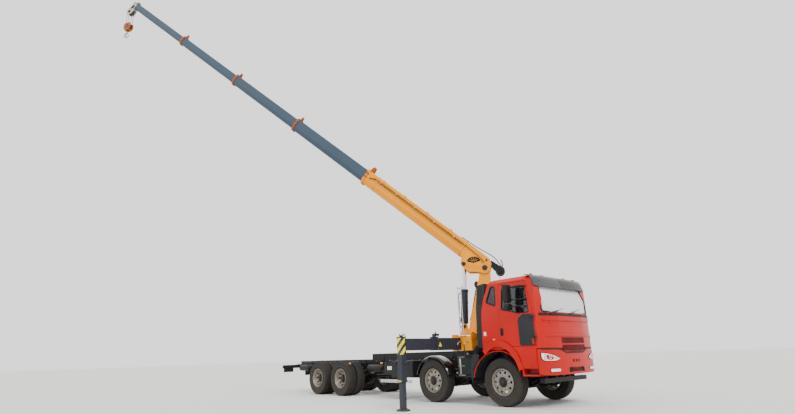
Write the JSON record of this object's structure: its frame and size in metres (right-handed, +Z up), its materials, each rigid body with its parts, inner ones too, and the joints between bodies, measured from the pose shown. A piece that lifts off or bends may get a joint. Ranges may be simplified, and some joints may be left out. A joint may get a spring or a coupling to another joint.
{
  "type": "truck-mounted telescopic crane",
  "caption": "Truck-mounted telescopic crane on a four-axle cab-over chassis, with a slewing, luffing boom, hook block and sliding outriggers.",
  "frame": {"origin": "on the ground, at the bottom centre of the whole assembly's box in the stored pose", "axes": "+X forward, +Y to the lorry's left, +Z up"},
  "size_m": [14.0388, 11.154, 15.8073],
  "materials": {
    "blue_grey_paint": "blue-grey boom paint",
    "cast_iron": "bare and painted castings",
    "chrome_rod": "hard chrome",
    "frame_black": "satin black chassis paint",
    "glass": "clear glass",
    "grey_paint": "dark grey crane paint",
    "orange_paint": "orange paint",
    "red_paint": "glossy red cab paint",
    "seat_cloth": "dark seat cloth",
    "trim_plastic": "dark grey plastic",
    "tyre_rubber": "black tyre rubber on a steel rim",
    "yellow_paint": "yellow crane paint"
  },
  "bodies": {
    "chassis": {"battery_box": "trim_plastic", "bogie_suspension": "frame_black", "cab_shell": "red_paint", "chassis_frame": "frame_black", "crane_base": "yellow_paint", "dashboard": "trim_plastic", "engine": "cast_iron", "front_axle_1": "frame_black", "front_axle_2": "frame_black", "front_bumper": "red_paint", "front_fender_left": "red_paint", "front_fender_right": "red_paint", "fuel_tank": "frame_black", "hydraulic_tank": "grey_paint", "intake_stack": "trim_plastic", "mudguard_left": "trim_plastic", "mudguard_right": "trim_plastic", "propeller_shaft": "frame_black", "rear_axle_3": "frame_black", "rear_axle_4": "frame_black", "rear_bar": "frame_black", "seat_left": "seat_cloth", "seat_right": "seat_cloth", "sub_frame": "frame_black", "sun_visor": "trim_plastic", "windscreen": "glass"},
    "steering_1_left": {"steering_knuckle_1_left": "cast_iron"},
    "wheel_1_left": {"front_wheel_1_left": "tyre_rubber"},
    "steering_1_right": {"steering_knuckle_1_right": "cast_iron"},
    "wheel_1_right": {"front_wheel_1_right": "tyre_rubber"},
    "steering_2_left": {"steering_knuckle_2_left": "cast_iron"},
    "wheel_2_left": {"front_wheel_2_left": "tyre_rubber"},
    "steering_2_right": {"steering_knuckle_2_right": "cast_iron"},
    "wheel_2_right": {"front_wheel_2_right": "tyre_rubber"},
    "wheel_3_left": {"rear_wheels_3_left": "tyre_rubber"},
    "wheel_3_right": {"rear_wheels_3_right": "tyre_rubber"},
    "wheel_4_left": {"rear_wheels_4_left": "tyre_rubber"},
    "wheel_4_right": {"rear_wheels_4_right": "tyre_rubber"},
    "door_left": {"door_left": "red_paint", "door_glass_left": "glass"},
    "beam_left": {"outrigger_beam_left": "grey_paint"},
    "arm_left": {"outrigger_arm_left": "grey_paint"},
    "jack_left": {"jack_leg_left": "grey_paint"},
    "door_right": {"door_right": "red_paint", "door_glass_right": "glass"},
    "beam_right": {"outrigger_beam_right": "grey_paint"},
    "arm_right": {"outrigger_arm_right": "grey_paint"},
    "jack_right": {"jack_leg_right": "grey_paint"},
    "crane_column": {"column": "yellow_paint"},
    "lift_barrel": {"lift_cylinder_barrel": "grey_paint"},
    "lift_rod": {"lift_cylinder_rod": "chrome_rod"},
    "boom_base": {"boom_base_section": "yellow_paint", "winch": "frame_black"},
    "boom_2": {"boom_section_2": "blue_grey_paint"},
    "boom_3": {"boom_section_3": "blue_grey_paint"},
    "boom_4": {"boom_section_4": "blue_grey_paint"},
    "boom_5": {"boom_section_5": "blue_grey_paint"},
    "hook": {"hook_block": "orange_paint"}
  },
  "joints": [
    {"name": "steer_1_left", "type": "hinge", "parent": "chassis", "child": "steering_1_left", "pos_m": [5.72935, 3.31896, 0.54], "axis": [0, 0, 1], "range_deg": [-38, 38]},
    {"name": "wheel_roll_1_left", "type": "hinge", "parent": "steering_1_left", "child": "wheel_1_left", "pos_m": [5.72935, 3.46396, 0.54], "axis": [0, 1, 0], "continuous": true},
    {"name": "steer_1_right", "type": "hinge", "parent": "chassis", "child": "steering_1_right", "pos_m": [5.72935, 1.51896, 0.54], "axis": [0, 0, 1], "range_deg": [-38, 38]},
    {"name": "wheel_roll_1_right", "type": "hinge", "parent": "steering_1_right", "child": "wheel_1_right", "pos_m": [5.72935, 1.37396, 0.54], "axis": [0, 1, 0], "continuous": true},
    {"name": "steer_2_left", "type": "hinge", "parent": "chassis", "child": "steering_2_left", "pos_m": [3.47935, 3.31896, 0.54], "axis": [0, 0, 1], "range_deg": [-26.5, 26.5]},
    {"name": "wheel_roll_2_left", "type": "hinge", "parent": "steering_2_left", "child": "wheel_2_left", "pos_m": [3.47935, 3.46396, 0.54], "axis": [0, 1, 0], "continuous": true},
    {"name": "steer_2_right", "type": "hinge", "parent": "chassis", "child": "steering_2_right", "pos_m": [3.47935, 1.51896, 0.54], "axis": [0, 0, 1], "range_deg": [-26.5, 26.5]},
    {"name": "wheel_roll_2_right", "type": "hinge", "parent": "steering_2_right", "child": "wheel_2_right", "pos_m": [3.47935, 1.37396, 0.54], "axis": [0, 1, 0], "continuous": true},
    {"name": "wheel_roll_3_left", "type": "hinge", "parent": "chassis", "child": "wheel_3_left", "pos_m": [-0.72065, 3.34896, 0.54], "axis": [0, 1, 0], "continuous": true},
    {"name": "wheel_roll_3_right", "type": "hinge", "parent": "chassis", "child": "wheel_3_right", "pos_m": [-0.72065, 1.48896, 0.54], "axis": [0, 1, 0], "continuous": true},
    {"name": "wheel_roll_4_left", "type": "hinge", "parent": "chassis", "child": "wheel_4_left", "pos_m": [-2.07065, 3.34896, 0.54], "axis": [0, 1, 0], "continuous": true},
    {"name": "wheel_roll_4_right", "type": "hinge", "parent": "chassis", "child": "wheel_4_right", "pos_m": [-2.07065, 1.48896, 0.54], "axis": [0, 1, 0], "continuous": true},
    {"name": "door_swing_left", "type": "hinge", "parent": "chassis", "child": "door_left", "pos_m": [6.77535, 3.66396, 0], "axis": [0, 0, -1], "range_deg": [0, 70]},
    {"name": "beam_extend_left", "type": "slide", "parent": "chassis", "child": "beam_left", "axis": [0, 1, 0], "range_m": [-0.83, 0]},
    {"name": "arm_extend_left", "type": "slide", "parent": "beam_left", "child": "arm_left", "axis": [0, 1, 0], "range_m": [-1, 0]},
    {"name": "jack_extend_left", "type": "slide", "parent": "arm_left", "child": "jack_left", "axis": [0, 0, -1], "range_m": [-0.55, 0]},
    {"name": "door_swing_right", "type": "hinge", "parent": "chassis", "child": "door_right", "pos_m": [6.77535, 1.17396, 0], "axis": [0, 0, 1], "range_deg": [0, 70]},
    {"name": "beam_extend_right", "type": "slide", "parent": "chassis", "child": "beam_right", "axis": [0, -1, 0], "range_m": [-0.83, 0]},
    {"name": "arm_extend_right", "type": "slide", "parent": "beam_right", "child": "arm_right", "axis": [0, -1, 0], "range_m": [-1, 0]},
    {"name": "jack_extend_right", "type": "slide", "parent": "arm_right", "child": "jack_right", "axis": [0, 0, -1], "range_m": [-0.55, 0]},
    {"name": "slew", "type": "hinge", "parent": "chassis", "child": "crane_column", "pos_m": [4.34935, 2.41896, 0], "axis": [0, 0, 1], "continuous": true},
    {"name": "boom_luff", "type": "hinge", "parent": "crane_column", "child": "boom_base", "pos_m": [4.51646, 2.53597, 3.52], "axis": [-0.5736, 0.8192, 0], "range_deg": [-41.5, 33.5]},
    {"name": "lift_tilt", "type": "hinge", "parent": "crane_column", "child": "lift_barrel", "pos_m": [3.94305, 2.13446, 1.93], "axis": [-0.5736, 0.8192, 0], "range_deg": [-2, 2]},
    {"name": "lift_stroke", "type": "slide", "parent": "lift_barrel", "child": "lift_rod", "axis": [0.0514, 0.036, 0.998], "range_m": [-0.42, 0.34]},
    {"name": "telescope_2", "type": "slide", "parent": "boom_base", "child": "boom_2", "axis": [-0.6135, -0.4296, 0.6626], "range_m": [-3.26, 0]},
    {"name": "telescope_3", "type": "slide", "parent": "boom_2", "child": "boom_3", "axis": [-0.6135, -0.4296, 0.6626], "range_m": [-3.26, 0]},
    {"name": "telescope_4", "type": "slide", "parent": "boom_3", "child": "boom_4", "axis": [-0.6135, -0.4296, 0.6626], "range_m": [-3.26, 0]},
    {"name": "telescope_5", "type": "slide", "parent": "boom_4", "child": "boom_5", "axis": [-0.6135, -0.4296, 0.6626], "range_m": [-3.26, 0]},
    {"name": "hook_swing", "type": "hinge", "parent": "boom_5", "child": "hook", "pos_m": [-6.83134, -5.40985, 15.38899], "axis": [0.5736, -0.8192, 0], "range_deg": [-41.5, 33.5]}
  ],
  "couplings": [
    {"joint": "steer_1_right", "follows": "steer_1_left", "ratio": 1},
    {"joint": "steer_2_left", "follows": "steer_1_left", "ratio": 0.69},
    {"joint": "steer_2_right", "follows": "steer_1_left", "ratio": 0.69},
    {"joint": "lift_tilt", "follows": "boom_luff", "ratio": 0.0397},
    {"joint": "lift_stroke", "follows": "boom_luff", "m_per_rad": 0.5728},
    {"joint": "telescope_3", "follows": "telescope_2", "ratio": 1},
    {"joint": "telescope_4", "follows": "telescope_2", "ratio": 1},
    {"joint": "telescope_5", "follows": "telescope_2", "ratio": 1}
  ]
}
